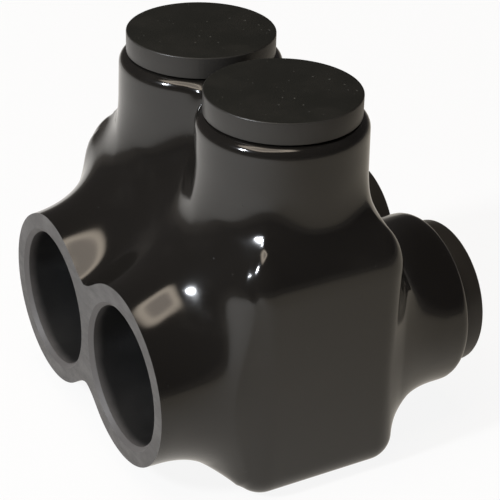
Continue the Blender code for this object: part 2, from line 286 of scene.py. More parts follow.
def cut_vinyl(graph):
    drag = graph.noise(DRAG_SIZE, detail=6.0, roughness=0.75, stretch=DRAG_STRETCH)
    grain = graph.noise(CUT_GRAIN_SIZE, detail=2.0)
    scuffs = graph.step(graph.noise(SCUFF_SIZE, detail=3.0), 0.42, 0.70)
    paleness = (0.55 * graph.step(drag, 0.30, 0.70) + 0.45 * scuffs).clamp()
    return {
        "Base Color": graph.mix(paleness, CUT_DARK, CUT_PALE),
        "Roughness": 0.50 + 0.14 * grain,
        "Normal": graph.bump(0.65 * drag + 0.35 * grain, CUT_DEPTH),
    }


CUT_VINYL = make_material("cut vinyl", cut_vinyl)
print("cut faces:", CUT_VINYL.name)

# %% [markdown]
# Inside, the vinyl took the surface of the former, so it is smooth but dull. Just inside the mouths a paler
# band is painted light: it stands for the light from the front that falls on the first millimetres of the
# bore and fades deeper in. Its edge wavers a little.

# %% Make the inside's material
INNER_DARK = grey(0.010)
INNER_HAZY = grey(0.018)
# painted light: the colour of the band just inside each mouth, where light from the front falls
MOUTH_PAINTED_LIGHT = (0.100, 0.095, 0.093, 1.0)
MOUTH_LIGHT_DEPTH = 0.0036
BAND_WAVER = 0.0012
HAZE_SIZE = 0.004
FORMER_MARK_SIZE = 0.0011
FORMER_MARK_DEPTH = 0.00003


def inner_vinyl(graph):
    haze = graph.noise(HAZE_SIZE, detail=3.0)
    past_mouth = graph.along("Y") + BAND_WAVER * haze
    # painted light: the inner wall is paler in a band just inside each mouth, fading deeper in
    painted_mouth_light = graph.step(past_mouth, cover_low.y + MOUTH_LIGHT_DEPTH, cover_low.y + 0.3 * MOUTH_LIGHT_DEPTH)
    deep = graph.mix(haze, INNER_DARK, INNER_HAZY)
    return {
        "Base Color": graph.mix(painted_mouth_light, deep, MOUTH_PAINTED_LIGHT),
        "Roughness": 0.36 + 0.16 * haze + 0.10 * painted_mouth_light,
        "Normal": graph.bump(graph.noise(FORMER_MARK_SIZE), FORMER_MARK_DEPTH),
    }


INNER_VINYL = make_material("inner vinyl", inner_vinyl)
print("inside:", INNER_VINYL.name)

# %% [markdown]
# ## The dipped skin as a rule
#
# The cover could be sculpted, or caged and subdivided, but its surface follows a simple rule: a liquid coat
# lies on a body, two necks and four sleeves, and fills the corners between them. A distance rule says that
# exactly. Each form gives its distance, and `blend` joins two distances with a fillet. Two forms that meet at
# an angle get the whole fillet, and forms that run side by side get none, so flat faces stay flat.

# %% Measure the forms from the frame
block_low, block_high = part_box("terminal_block")
port_places = []
for index in (1, 2):
    screw_low, screw_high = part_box(f"set_screw_{index}")
    port_places.append((screw_low.x + screw_high.x) / 2)
port_plug_low, port_plug_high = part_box("port_plug_2")
wire_axis = (port_plug_low.z + port_plug_high.z) / 2
body_half_width = cover_high.x
neck_top = cover_high.z
sleeve_reach = cover_high.y
trimmed_reach = -cover_low.y
print("ports at", [round(1000 * place, 2) for place in port_places], "mm from the middle")
print("wire axis:", round(1000 * wire_axis, 1), "mm above the base")

BODY_HALF_DEPTH = 0.0170
BODY_HEIGHT = 0.0535
BODY_CORNER_RADIUS = 0.0057
BASE_EDGE_RADIUS = 0.0055
SHOULDER_RADIUS = 0.0115
NECK_ROOT_RADIUS = 0.0162
NECK_LIP_RADIUS = 0.0159
SLEEVE_ROOT_RADIUS = 0.0174
SLEEVE_LIP_RADIUS = 0.0172
TRIM_ALLOWANCE = 0.0030
LIP_ROUNDING = 0.0021
WEB_FILLET = 0.0070
SPOUT_SINK = 0.0080
PROBE = 0.00005
open_sleeve_reach = trimmed_reach + TRIM_ALLOWANCE


# %% Write the distance of each form
def blend(first, second, reach):
    """Union of two distances, with a fillet that grows with its reach."""
    overlap = np.maximum(reach - np.abs(first - second), 0.0) / reach
    return np.minimum(first, second) - overlap * overlap * reach / 4


def round_corner(first, second, radius):
    """Distance to where two faces meet, given the distance to each, with the corner rounded."""
    first, second = first + radius, second + radius
    past = np.hypot(np.maximum(first, 0.0), np.maximum(second, 0.0))
    return np.minimum(np.maximum(first, second), 0.0) + past - radius


def body_distance(points):
    x, y, z = points.T
    walls = round_corner(np.abs(x) - body_half_width, np.abs(y) - BODY_HALF_DEPTH, BODY_CORNER_RADIUS)
    edge_radius = np.where(z > BODY_HEIGHT / 2, SHOULDER_RADIUS, BASE_EDGE_RADIUS)
    return round_corner(walls, np.maximum(z - BODY_HEIGHT, -z), edge_radius)


def side_of_row(from_axes, along, root_at, root_radius, end_at, end_radius):
    """Distance to the sides of a row of round tapered spouts, with a web between neighbours."""
    slope = (end_radius - root_radius) / (end_at - root_at)
    radius = root_radius + slope * (np.maximum(along, root_at) - root_at)
    row = None
    for from_axis in from_axes:
        side = (from_axis - radius) / math.hypot(1.0, slope)
        row = side if row is None else blend(row, side, WEB_FILLET)
    return row


def neck_side(points):
    x, y, z = points.T
    from_axes = [np.hypot(x - place, y) for place in port_places]
    return side_of_row(from_axes, z, BODY_HEIGHT, NECK_ROOT_RADIUS, neck_top, NECK_LIP_RADIUS)


def sleeve_side(points, along, reach):
    x, y, z = points.T
    from_axes = [np.hypot(x - place, z - wire_axis) for place in port_places]
    return side_of_row(from_axes, along, BODY_HALF_DEPTH, SLEEVE_ROOT_RADIUS, reach, SLEEVE_LIP_RADIUS)


def open_sleeve_side(points):
    return sleeve_side(points, -points[:, 1], open_sleeve_reach)


def plugged_sleeve_side(points):
    return sleeve_side(points, points[:, 1], sleeve_reach)


print("distance above the body's crown:", body_distance(np.array([[0.0, 0.0, BODY_HEIGHT + 0.001]])))

# %% [markdown]
# The coat isn't equally thick in every corner. It drains down the former, and it gathers over the crowns of
# the open sleeves, where the fillet reaches farthest. Both reaches change smoothly with the direction round
# the spout's axis.

# %% Join the forms
NECK_FILLET = 0.0070
NECK_FACE_FILLET = 0.0085
NECK_FILLING = 1.1
SLEEVE_FILLET = 0.0117
SLEEVE_CROWN_FILLET = 0.0220
CROWN_SPREAD = 2.0
OPEN_SLEEVE_FILLING = 2.0


def slope_of(field, points):
    """Direction in which a distance grows fastest, found by probing to each side."""
    slope = np.empty_like(points)
    for axis in range(3):
        step = np.zeros(3)
        step[axis] = PROBE
        slope[:, axis] = (field(points + step) - field(points - step)) / (2 * PROBE)
    return slope


def unit(vectors):
    return vectors / np.maximum(np.linalg.norm(vectors, axis=1), PROBE)[:, None]


def share_of_square(first, second):
    return first ** 2 / (first ** 2 + second ** 2 + PROBE ** 2)


def spout_fillets(points):
    x, y, z = points.T
    from_nearest = np.abs(x[:, None] - np.array(port_places)).min(axis=1)
    necks = NECK_FILLET + (NECK_FACE_FILLET - NECK_FILLET) * share_of_square(y, from_nearest)
    beyond_row = np.maximum(np.abs(x) - max(port_places), 0.0)
    above_axis = np.maximum(z - wire_axis, 0.0)
    crown_share = share_of_square(above_axis, beyond_row) ** CROWN_SPREAD
    return necks, SLEEVE_FILLET + (SLEEVE_CROWN_FILLET - SLEEVE_FILLET) * crown_share


def skin_distance(points):
    """Distance to the dipped skin, filled where two forms meet at an angle."""
    x, y, z = points.T
    neck_fillets, open_sleeve_fillets = spout_fillets(points)
    spouts = (
        (neck_side, z, BODY_HEIGHT, neck_top, neck_fillets, NECK_FILLING),
        (open_sleeve_side, -y, BODY_HALF_DEPTH, open_sleeve_reach, open_sleeve_fillets, OPEN_SLEEVE_FILLING),
        (plugged_sleeve_side, y, BODY_HALF_DEPTH, sleeve_reach, SLEEVE_FILLET, 1.0),
    )
    skin = body_distance(points)
    facing = unit(slope_of(body_distance, points))
    for side, along, root, end, fillet, filling in spouts:
        spout = round_corner(side(points), np.maximum(along - end, root - SPOUT_SINK - along), LIP_ROUNDING)
        spout_facing = unit(slope_of(side, points))
        angle_share = np.clip(filling * (1.0 - (facing * spout_facing).sum(axis=1)), 0.0, 1.0)
        reach = fillet * angle_share + PROBE
        spout_share = np.clip(0.5 + 0.5 * (skin - spout) / reach, 0.0, 1.0)[:, None]
        skin = blend(skin, spout, reach)
        facing = unit(facing * (1.0 - spout_share) + spout_facing * spout_share)
    return skin


print("distance at the middle of the end face:", skin_distance(np.array([[body_half_width, 0.0, wire_axis]])))

# %% [markdown]
# ## From the rule to a mesh
#
# A rough union of a box and cylinders is close to the skin. A voxel remesh turns it into one even sheet of
# quads, and then each point walks down the slope of the distance until it lies on the skin. The first rounds
# also pull each point towards the middle of its neighbours, which keeps the quads even.
#
# The rule leaves faint creases where three forms meet. A real coat doesn't, because surface tension pulls it
# level while it is wet. The flow does the same: each point moves outwards if its neighbours lie farther out,
# and never inwards, so that creases fill up and edges stay. The directions are evened first, so that points
# from the two walls of a crease hardly cross on their way out, and a few rounds of evening at the end spread
# them again.

# %% Build rough forms and even them out
SKIN_GRID = 0.00066
ROUGH_SIDES = 64


def add_box(shape, low, high):
    place = Matrix.Translation((Vector(low) + Vector(high)) / 2)
    size = Matrix.Diagonal((*(Vector(high) - Vector(low)), 1.0))
    bmesh.ops.create_cube(shape, size=1.0, matrix=place @ size)


def add_cylinder(shape, start, end, radius, sides=ROUGH_SIDES):
    start, end = Vector(start), Vector(end)
    axis = end - start
    turned = Vector((0, 0, 1)).rotation_difference(axis.normalized()).to_matrix().to_4x4()
    place = Matrix.Translation((start + end) / 2) @ turned
    bmesh.ops.create_cone(shape, cap_ends=True, segments=sides, radius1=radius, radius2=radius,
                          depth=axis.length, matrix=place)


def add_object(name, shape):
    mesh = bpy.data.meshes.new(name)
    shape.to_mesh(mesh)
    shape.free()
    item = bpy.data.objects.new(name, mesh)
    bpy.context.scene.collection.objects.link(item)
    return item


def settle_modifiers(item):
    """Keep the shape that the modifiers give, and drop the modifiers."""
    view = bpy.context.evaluated_depsgraph_get()
    mesh = bpy.data.meshes.new_from_object(item.evaluated_get(view))
    item.modifiers.clear()
    item.data = mesh


rough = bmesh.new()
add_box(rough, (-body_half_width, -BODY_HALF_DEPTH, 0.0), (body_half_width, BODY_HALF_DEPTH, BODY_HEIGHT))
for place in port_places:
    add_cylinder(rough, (place, 0.0, wire_axis), (place, 0.0, neck_top), NECK_ROOT_RADIUS)
    add_cylinder(rough, (place, -open_sleeve_reach, wire_axis), (place, sleeve_reach, wire_axis),
                 SLEEVE_LIP_RADIUS)
cover = add_object("dipped_cover", rough)
grid = cover.modifiers.new("even skin", "REMESH")
grid.mode = "VOXEL"
grid.voxel_size = SKIN_GRID
settle_modifiers(cover)
print("rough skin:", len(cover.data.polygons), "quads")

# %% Settle the points and let the coat flow
EVENING_ROUNDS = 6
SETTLING_ROUNDS = 3
EVENING_SHARE = 0.5
LEAST_STEEPNESS = 0.25
FLOW_REACH = 0.0080
FLOW_SHARE = 0.5
TURNING_ROUNDS = 12
FILLED_DEPTH = 0.0002
SPREADING_ROUNDS = 12


def settle_on_skin(mesh):
    points = np.empty(len(mesh.vertices) * 3)
    mesh.vertices.foreach_get("co", points)
    points = points.reshape(-1, 3)
    edges = np.empty(len(mesh.edges) * 2, dtype=int)
    mesh.edges.foreach_get("vertices", edges)
    first, second = edges.reshape(-1, 2).T
    count = np.bincount(first, minlength=len(points)) + np.bincount(second, minlength=len(points))

    def to_neighbours(places):
        middle = np.empty_like(places)
        for axis in range(3):
            middle[:, axis] = np.bincount(first, places[second, axis], len(places))
            middle[:, axis] += np.bincount(second, places[first, axis], len(places))
        return middle / count[:, None] - places

    for turn in range(EVENING_ROUNDS + SETTLING_ROUNDS):
        if turn < EVENING_ROUNDS:
            points += EVENING_SHARE * to_neighbours(points)
        slope = slope_of(skin_distance, points)
        steepness = np.maximum((slope ** 2).sum(axis=1), LEAST_STEEPNESS)
        points -= (skin_distance(points) / steepness)[:, None] * slope

    outwards = unit(slope_of(skin_distance, points))
    for turn in range(TURNING_ROUNDS):
        outwards = unit(outwards + to_neighbours(outwards))
    build_up = np.zeros(len(points))
    for turn in range(round((FLOW_REACH / SKIN_GRID) ** 2)):
        pull = (to_neighbours(points + build_up[:, None] * outwards) * outwards).sum(axis=1)
        build_up = np.maximum(build_up + FLOW_SHARE * pull, 0.0)
    points += build_up[:, None] * outwards
    filled = np.clip(build_up / FILLED_DEPTH, 0.0, 1.0)[:, None]
    for turn in range(SPREADING_ROUNDS):
        points += EVENING_SHARE * filled * to_neighbours(points)
    mesh.vertices.foreach_set("co", points.ravel())
    return build_up.max()


deepest = settle_on_skin(cover.data)
print("the coat filled its deepest crease by", round(1000 * deepest, 2), "mm")

# %% [markdown]
# ## Trimming and hollowing
#
# The front sleeves are cut off flat for their cables, which leaves sharp-edged matte rings joined by a web.
# Inside, the coat keeps the shape of its former: a pocket for the block, and round bores through sleeves and
# necks. All the cutters go into one collection, so that one exact Boolean makes every cut at once.

# %% Cut the cover
OPENING_RADIUS = 0.0135
MOUTH_CHAMFER = 0.0008
SEAT_GAP = 0.0003
BLOCK_CHAMFER = 0.0010
BORE_SIDES = 128
PAST_FACE = 0.0010
PROFILE_MERGE = 0.00001


def turned(name, profile, sides):
    """Turn a profile of (radius, height) points, listed down the outer side, about Z."""
    shape = bmesh.new()
    corners = [shape.verts.new((radius, 0.0, height)) for radius, height in profile]
    for first, second in zip(corners, corners[1:]):
        shape.edges.new((first, second))
    item = add_object(name, shape)
    spin = item.modifiers.new("turn", "SCREW")
    spin.steps = sides
    spin.render_steps = sides
    spin.use_merge_vertices = True
    spin.merge_threshold = PROFILE_MERGE
    settle_modifiers(item)
    return item


def cut_all(item, cutters):
    """Cut with every cutter in one Boolean, then remove the cutters."""
    collection = bpy.data.collections.new(f"{item.name} cutters")
    bpy.context.scene.collection.children.link(collection)
    for cutter in cutters:
        collection.objects.link(cutter)
    step = item.modifiers.new("cuts", "BOOLEAN")
    step.operation = "DIFFERENCE"
    step.solver = "EXACT"
    step.operand_type = "COLLECTION"
    step.collection = collection
    step.use_self = True
    settle_modifiers(item)
    for cutter in cutters:
        bpy.data.objects.remove(cutter)
    bpy.data.collections.remove(collection)


def drop_crumbs(item):
    """Keep the largest connected part, and delete the crumbs that a cut left beside it."""
    shape = bmesh.new()
    shape.from_mesh(item.data)
    waiting = set(shape.verts)
    parts = []
    while waiting:
        part = [waiting.pop()]
        for vert in part:
            near = [edge.other_vert(vert) for edge in vert.link_edges]
            fresh = [other for other in near if other in waiting]
            waiting.difference_update(fresh)
            part += fresh
        parts.append(part)
    parts.sort(key=len)
    crumbs = [vert for part in parts[:-1] for vert in part]
    bmesh.ops.delete(shape, geom=crumbs, context="VERTS")
    shape.to_mesh(item.data)
    shape.free()
    return len(parts) - 1


def bored(name, radius, low, high, flare_low, flare_high):
    """A cutter along Z for a round bore, flared past a face at either end for the chamfer there."""
    wider_low = radius + flare_low + PAST_FACE if flare_low else radius
    wider_high = radius + flare_high + PAST_FACE if flare_high else radius
    profile = [(0.0, high + PAST_FACE), (wider_high, high + PAST_FACE)]
    if flare_high:
        profile.append((radius, high - flare_high))
    if flare_low:
        profile.append((radius, low + flare_low))
    profile += [(wider_low, low - PAST_FACE), (0.0, low - PAST_FACE)]
    return turned(name, profile, BORE_SIDES)


def place_at(item, x, y, z, along="Z"):
    """Move an item made along Z, and lay it along Y with its top to the rear or front if asked to."""
    turns = {"Z": 0.0, "rear": -90.0, "front": 90.0}
    item.data.transform(Matrix.Translation((x, y, z)) @ Matrix.Rotation(math.radians(turns[along]), 4, "X"))
    return item


def add_block_form(shape, gap=0.0, segments=1):
    grown = Vector((gap, gap, gap))
    add_box(shape, block_low - grown, block_high + grown)
    bmesh.ops.bevel(shape, geom=shape.edges[:], offset=BLOCK_CHAMFER, offset_type="OFFSET",
                    segments=segments, profile=0.5, affect="EDGES")


far = 2 * body_half_width
shape = bmesh.new()
add_box(shape, (-far, -far, -far), (far, -trimmed_reach, far))
trimmer = add_object("trimmer", shape)
shape = bmesh.new()
add_block_form(shape, SEAT_GAP)
cutters = [trimmer, add_object("pocket", shape)]
for place in port_places:
    sleeve_bore = bored("sleeve bore", OPENING_RADIUS, -sleeve_reach, trimmed_reach, 0.0, MOUTH_CHAMFER)
    neck_bore = bored("neck bore", OPENING_RADIUS, wire_axis, neck_top, 0.0, 0.0)
    cutters.append(place_at(sleeve_bore, place, 0.0, wire_axis, "front"))
    cutters.append(place_at(neck_bore, place, 0.0, 0.0))
cut_all(cover, cutters)
crumb_count = drop_crumbs(cover)
print("cut cover:", len(cover.data.polygons), "faces, with", crumb_count, "crumbs dropped")

# %% [markdown]
# One mesh now has three finishes. The trimmed faces lie in one plane and look forward. A face is inside if
# its middle is well below the dipped skin, which the distance rule tells at once.

# %% Give each face its finish
SAME_PLANE = 0.00002
INSIDE_DEPTH = 0.0004
FACING_FRONT = -0.9
GLOSSY, TRIMMED, INSIDE = range(3)
COVER_SHARP = math.radians(32)


def finish_piece(item, body, node, sharp):
    """Shade a piece round with crisp edges, attach it to the body it moves with, and hide the part it stands
    for.
    """
    item.data.shade_smooth()
    item.data.set_sharp_from_angle(angle=sharp)
    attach(item, body)
    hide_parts(node)


def finish_cover(mesh):
    for material in (GLOSS_VINYL, CUT_VINYL, INNER_VINYL):
        mesh.materials.append(material)
    middles = np.empty(len(mesh.polygons) * 3)
    mesh.polygons.foreach_get("center", middles)
    middles = middles.reshape(-1, 3)
    facing = np.empty(len(mesh.polygons) * 3)
    mesh.polygons.foreach_get("normal", facing)
    facing = facing.reshape(-1, 3)
    finish = np.full(len(mesh.polygons), GLOSSY)
    finish[skin_distance(middles) < -INSIDE_DEPTH] = INSIDE
    in_trim_plane = np.abs(middles[:, 1] + trimmed_reach) < SAME_PLANE
    finish[in_trim_plane & (facing[:, 1] < FACING_FRONT)] = TRIMMED
    mesh.polygons.foreach_set("material_index", finish)
    return np.bincount(finish)


counts = finish_cover(cover.data)
finish_piece(cover, "housing", "insulating_cover", COVER_SHARP)
print("faces glossy, trimmed, inside:", counts.tolist())

# %% [markdown]
# ## The closing plugs
#
# A plug is moulded from a matte black plastic: a flat disc with a slightly rounded rim, over a hollow skirt
# that pushes into the opening. Its faces copy the fine spark-eroded grain of the mould. The disc's side slid
# along the mould as it came out, so it is smoother than the top and reflects more of the table. Its colour
# is also painted lighter than the top's: a painted sheen that stands for more of that reflection.
#
# The skirt has three shallow grooves round it, so that its ribs hold in the soft cover. Turning a profile
# about an axis makes all of this, and short arcs in the profile round the edges.

# %% Make the plugs' material
PLUG_BLACK = (0.0075, 0.0078, 0.0058, 1.0)
PLUG_WORN = (0.0115, 0.0113, 0.0088, 1.0)
# painted sheen: the side's colour is lighter to stand for the table that it reflects
PLUG_SIDE_SHEEN = (0.0340, 0.0325, 0.0300, 1.0)
PLUG_GLOSS = 0.35
SPECK_PALE = (0.22, 0.22, 0.20, 1.0)
PLUG_GRAIN_SIZE = 0.00028
PLUG_GRAIN_DEPTH = 0.00004
PLUG_CLOUD_SIZE = 0.006
SPECK_SIZE = 0.00075
SPECK_STRENGTH = 0.35
DRAW_MARK_SIZE = 0.0008
DRAW_MARK_STRETCH = (1.0, 1.0, 0.1)
TOP_FROM, TOP_FULL = 0.0041, 0.00418


def plug_plastic(graph):
    height = graph.along("Z")
    on_top = graph.step(height, TOP_FROM, TOP_FULL)
    grain = graph.noise(PLUG_GRAIN_SIZE, detail=2.0)
    clouds = graph.noise(PLUG_CLOUD_SIZE, detail=4.0)
    specks = graph.step(graph.noise(SPECK_SIZE, detail=1.0), 0.745, 0.80) * on_top
    draw_marks = graph.noise(DRAW_MARK_SIZE, detail=3.0, stretch=DRAW_MARK_STRETCH)
    tone = graph.mix(graph.step(clouds, 0.40, 0.75), PLUG_BLACK, PLUG_WORN)
    # the disc's side gets a lighter colour than the top, a painted sheen for the reflected table
    clean = graph.mix(on_top, PLUG_SIDE_SHEEN, tone)
    relief = grain * (0.35 + 0.65 * on_top) + 0.35 * draw_marks * (1.0 - on_top)
    return {
        "Base Color": graph.mix(SPECK_STRENGTH * specks, clean, SPECK_PALE),
        "Roughness": 0.30 + 0.22 * on_top + 0.10 * clouds,
        "Specular IOR Level": PLUG_GLOSS,
        "Normal": graph.bump(relief, PLUG_GRAIN_DEPTH),
    }


PLUG_PLASTIC = make_material("moulded plastic", plug_plastic)
print("plug material:", PLUG_PLASTIC.name)

# %% Turn the plugs
HEAD_ROUNDING = 0.0003
SKIRT_DEPTH = 0.0065
SKIRT_WALL = 0.0020
PLUG_FLOOR = 0.0022
FLOOR_FILLET = 0.0004
LEAD_IN = 0.0009
RIB_PITCH = 0.0014
RIB_DEPTH = 0.00022
RIB_COUNT = 3
FIRST_RIB = 0.8
PLUG_SIDES = 160
PLUG_SHARP = math.radians(50)
ARC_STEPS = 4


def arc(radius, height, rounding, start_degrees, end_degrees):
    """Points of a small arc in a profile, round a centre at a radius and height."""
    angles = [math.radians(start_degrees + (end_degrees - start_degrees) * step / ARC_STEPS)
              for step in range(ARC_STEPS + 1)]
    return [(radius + rounding * math.cos(angle), height + rounding * math.sin(angle)) for angle in angles]


def plug_profile(head_radius, head_height):
    skirt = OPENING_RADIUS - SEAT_GAP
    profile = [(0.0, head_height)]
    profile += arc(head_radius - HEAD_ROUNDING, head_height - HEAD_ROUNDING, HEAD_ROUNDING, 90, 0)
    profile += arc(head_radius - HEAD_ROUNDING / 2, HEAD_ROUNDING / 2, HEAD_ROUNDING / 2, 0, -90)
    profile.append((skirt, 0.0))
    for rib in range(RIB_COUNT):
        middle = -RIB_PITCH * (rib + FIRST_RIB)
        quarter = RIB_PITCH / 4
        profile += [
            (skirt, middle + quarter),
            (skirt - RIB_DEPTH, middle + quarter / 2),
            (skirt - RIB_DEPTH, middle - quarter / 2),
            (skirt, middle - quarter),
        ]
    profile += [
        (skirt, -SKIRT_DEPTH + LEAD_IN),
        (skirt - LEAD_IN, -SKIRT_DEPTH),
        (skirt - SKIRT_WALL, -SKIRT_DEPTH),
        (skirt - SKIRT_WALL, -PLUG_FLOOR - FLOOR_FILLET),
        (skirt - SKIRT_WALL - FLOOR_FILLET, -PLUG_FLOOR),
        (0.0, -PLUG_FLOOR),
    ]
    return profile


plug_low, plug_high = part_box("screw_plug_1")
head_radius = (plug_high.x - plug_low.x) / 2
head_height = plug_high.z - neck_top - SEAT_GAP
for index, place in enumerate(port_places, start=1):
    for kind, along in (("screw_plug", "Z"), ("port_plug", "rear")):
        plug = turned(f"moulded_{kind}_{index}", plug_profile(head_radius, head_height), PLUG_SIDES)
        plug.data.materials.append(PLUG_PLASTIC)
        if along == "Z":
            plug.matrix_world = Matrix.Translation((place, 0.0, neck_top + SEAT_GAP))
        else:
            turn = Matrix.Rotation(math.radians(-90), 4, "X")
            plug.matrix_world = Matrix.Translation((place, sleeve_reach + SEAT_GAP, wire_axis)) @ turn
        finish_piece(plug, f"{kind}_{index}", f"{kind}_{index}", PLUG_SHARP)
print("plug heads:", round(2000 * head_radius, 2), "mm across,", round(1000 * head_height, 2), "mm high")

# %% [markdown]
# ## The set screws
#
# Under each neck plug stands a set screw with a hexagon socket. It shows when its plug is out. The thread is
# a sheet of points in rows that climb by one pitch in each turn. Its radius follows the thread's profile, and
# the smaller of that and the end chamfers is taken, so that the thread runs out on the point as a cut one
# does. Where rows pass an end they collapse onto it, and merging by distance closes the sheet.

# %% Make the metal materials
ALUMINIUM = (0.74, 0.75, 0.77, 1.0)
ALUMINIUM_DULL = (0.60, 0.61, 0.63, 1.0)
ALUMINIUM_BRIGHT = (0.80, 0.81, 0.82, 1.0)
SAW_MARK_SIZE = 0.00035
SAW_MARK_STRETCH = (0.06, 1.0, 1.0)
BORE_RING_SIZE = 0.00022
BORE_RING_STRETCH = (0.05, 1.0, 0.05)
STAIN_SIZE = 0.007
BLOCK_MARK_DEPTH = 0.00005
TURNING_RING_SIZE = 0.00018
TURNING_RING_STRETCH = (0.1, 0.1, 1.0)
WEAR_SIZE = 0.003
SCREW_MARK_DEPTH = 0.00002
METAL_SHARP = math.radians(25)


def sawn_aluminium(graph):
    saw = graph.noise(SAW_MARK_SIZE, detail=4.0, roughness=0.7, stretch=SAW_MARK_STRETCH)
    rings = graph.noise(BORE_RING_SIZE, detail=2.0, stretch=BORE_RING_STRETCH)
    stains = graph.step(graph.noise(STAIN_SIZE, detail=5.0, roughness=0.6), 0.40, 0.70)
    marks = 0.5 * saw + 0.5 * rings
    return {
        "Base Color": graph.mix(0.8 * stains, ALUMINIUM, ALUMINIUM_DULL),
        "Metallic": 1.0,
        "Roughness": 0.26 + 0.16 * marks + 0.14 * stains,
        "Normal": graph.bump(marks, BLOCK_MARK_DEPTH),
    }


def turned_aluminium(graph):
    rings = graph.noise(TURNING_RING_SIZE, detail=2.0, stretch=TURNING_RING_STRETCH)
    wear = graph.step(graph.noise(WEAR_SIZE, detail=4.0), 0.45, 0.70)
    return {
        "Base Color": graph.mix(wear, ALUMINIUM_BRIGHT, ALUMINIUM_DULL),
        "Metallic": 1.0,
        "Roughness": 0.20 + 0.12 * rings + 0.14 * wear,
        "Normal": graph.bump(rings, SCREW_MARK_DEPTH),
    }


SAWN_ALUMINIUM = make_material("sawn aluminium", sawn_aluminium)
TURNED_ALUMINIUM = make_material("turned aluminium", turned_aluminium)
print("metals:", SAWN_ALUMINIUM.name, TURNED_ALUMINIUM.name)

# %% Cut a thread
THREAD_PITCH = 0.0015
THREAD_DEPTH = 0.0008
THREAD_FLAT = 0.12
ROWS_IN_PITCH = 8
THREAD_SIDES = 72


def thread_radius(crest, turns_up):
    """Radius of a thread's flank, from how many pitches a point lies above the start of the helix."""
    slope = abs(2.0 * (turns_up % 1.0) - 1.0)
    share = min(max((slope - THREAD_FLAT) / (1.0 - 2 * THREAD_FLAT), 0.0), 1.0)
    return crest - THREAD_DEPTH * share


def threaded(name, crest, low, high, limit):
    """Closed threaded rod along Z. `limit` gives the largest radius allowed at a height."""
    shape = bmesh.new()
    rows = math.ceil((high - low) / THREAD_PITCH) * ROWS_IN_PITCH
    sheet = []
    for row in range(-ROWS_IN_PITCH, rows + 1):
        ring = []
        for side in range(THREAD_SIDES + 1):
            turns_up = row / ROWS_IN_PITCH + side / THREAD_SIDES
            height = min(max(low + THREAD_PITCH * turns_up, low), high)
            radius = min(thread_radius(crest, turns_up), limit(height))
            angle = math.tau * side / THREAD_SIDES
            ring.append(shape.verts.new((radius * math.cos(angle), radius * math.sin(angle), height)))
        sheet.append(ring)
    for lower, upper in zip(sheet, sheet[1:]):
        for side in range(THREAD_SIDES):
            shape.faces.new((lower[side], lower[side + 1], upper[side + 1], upper[side]))
    bmesh.ops.remove_doubles(shape, verts=shape.verts, dist=PROFILE_MERGE)
    bmesh.ops.holes_fill(shape, edges=[edge for edge in shape.edges if edge.is_boundary])
    bmesh.ops.recalc_face_normals(shape, faces=shape.faces)
    return add_object(name, shape)


# %% Cut the set screws
screw_low, screw_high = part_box("set_screw_1")
SCREW_POINT_RADIUS = 0.0062
SCREW_POINT_HEIGHT = 0.0016
HEX_ACROSS_FLATS = 0.0095
HEX_DEPTH = 0.0090
HEX_LEAD_IN = 0.0008
THREAD_RUN_OUT = 0.0001
screw_radius = (screw_high.x - screw_low.x) / 2
screw_length = screw_high.z - screw_low.z
thread_end = screw_radius - THREAD_DEPTH - THREAD_RUN_OUT


def screw_limit(height):
    """The point's cone, then the full radius, then the chamfer at the top."""
    cone = SCREW_POINT_RADIUS + (screw_radius - SCREW_POINT_RADIUS) * height / SCREW_POINT_HEIGHT
    chamfer = thread_end + (screw_length - height)
    return min(cone, chamfer)


def make_set_screw(index, place):
    screw = threaded(f"threaded_set_screw_{index}", screw_radius, 0.0, screw_length, screw_limit)
    corner_radius = HEX_ACROSS_FLATS / math.sqrt(3)
    shape = bmesh.new()
    add_cylinder(shape, (0, 0, screw_length - HEX_DEPTH), (0, 0, screw_length + HEX_DEPTH), corner_radius, 6)
    socket = add_object("hexagon socket", shape)
    profile = [
        (0.0, screw_length + PAST_FACE),
        (corner_radius + PAST_FACE, screw_length + PAST_FACE),
        (corner_radius - HEX_LEAD_IN, screw_length - HEX_LEAD_IN),
        (0.0, screw_length - HEX_LEAD_IN),
    ]
    cut_all(screw, [socket, turned("lead in", profile, BORE_SIDES)])
    screw.data.materials.append(TURNED_ALUMINIUM)
    screw.matrix_world = Matrix.Translation((place, 0.0, screw_low.z))
    finish_piece(screw, f"set_screw_{index}", f"set_screw_{index}", METAL_SHARP)
    return screw


for index, place in enumerate(port_places, start=1):
    screw = make_set_screw(index, place)
print("set screw:", len(screw.data.polygons), "faces,", round(1000 * screw_length, 1), "mm long")

# %% [markdown]
# ## The terminal block
#
# The block is sawn from an extruded bar, drilled through for the two wires, and drilled and tapped from
# above. Its saw marks run across, and the drill left fine rings in the bores. The block hardly shows, but a
# look into an open sleeve finds it at the end of the vinyl.
#
# The tap is the same threaded rod as a set screw, made wider. The drilled mouth is a little wider than the
# tap's root, so that the two cutters cross cleanly instead of sharing a face.

# %% Drill the block
WIRE_BORE_RADIUS = 0.0112
BORE_CHAMFER = 0.0009
SCREW_HOLE_CHAMFER = 0.0008
DRILL_EXTRA = 0.0001
BLOCK_EDGE_STEPS = 2
hole_radius = screw_radius + SEAT_GAP
tap_top = block_high.z + PAST_FACE


def tap_limit(height):
    """A tap tapers at both ends, so that its mesh closes on a circle there."""
    return hole_radius + min(THREAD_DEPTH, height - wire_axis, tap_top - height)


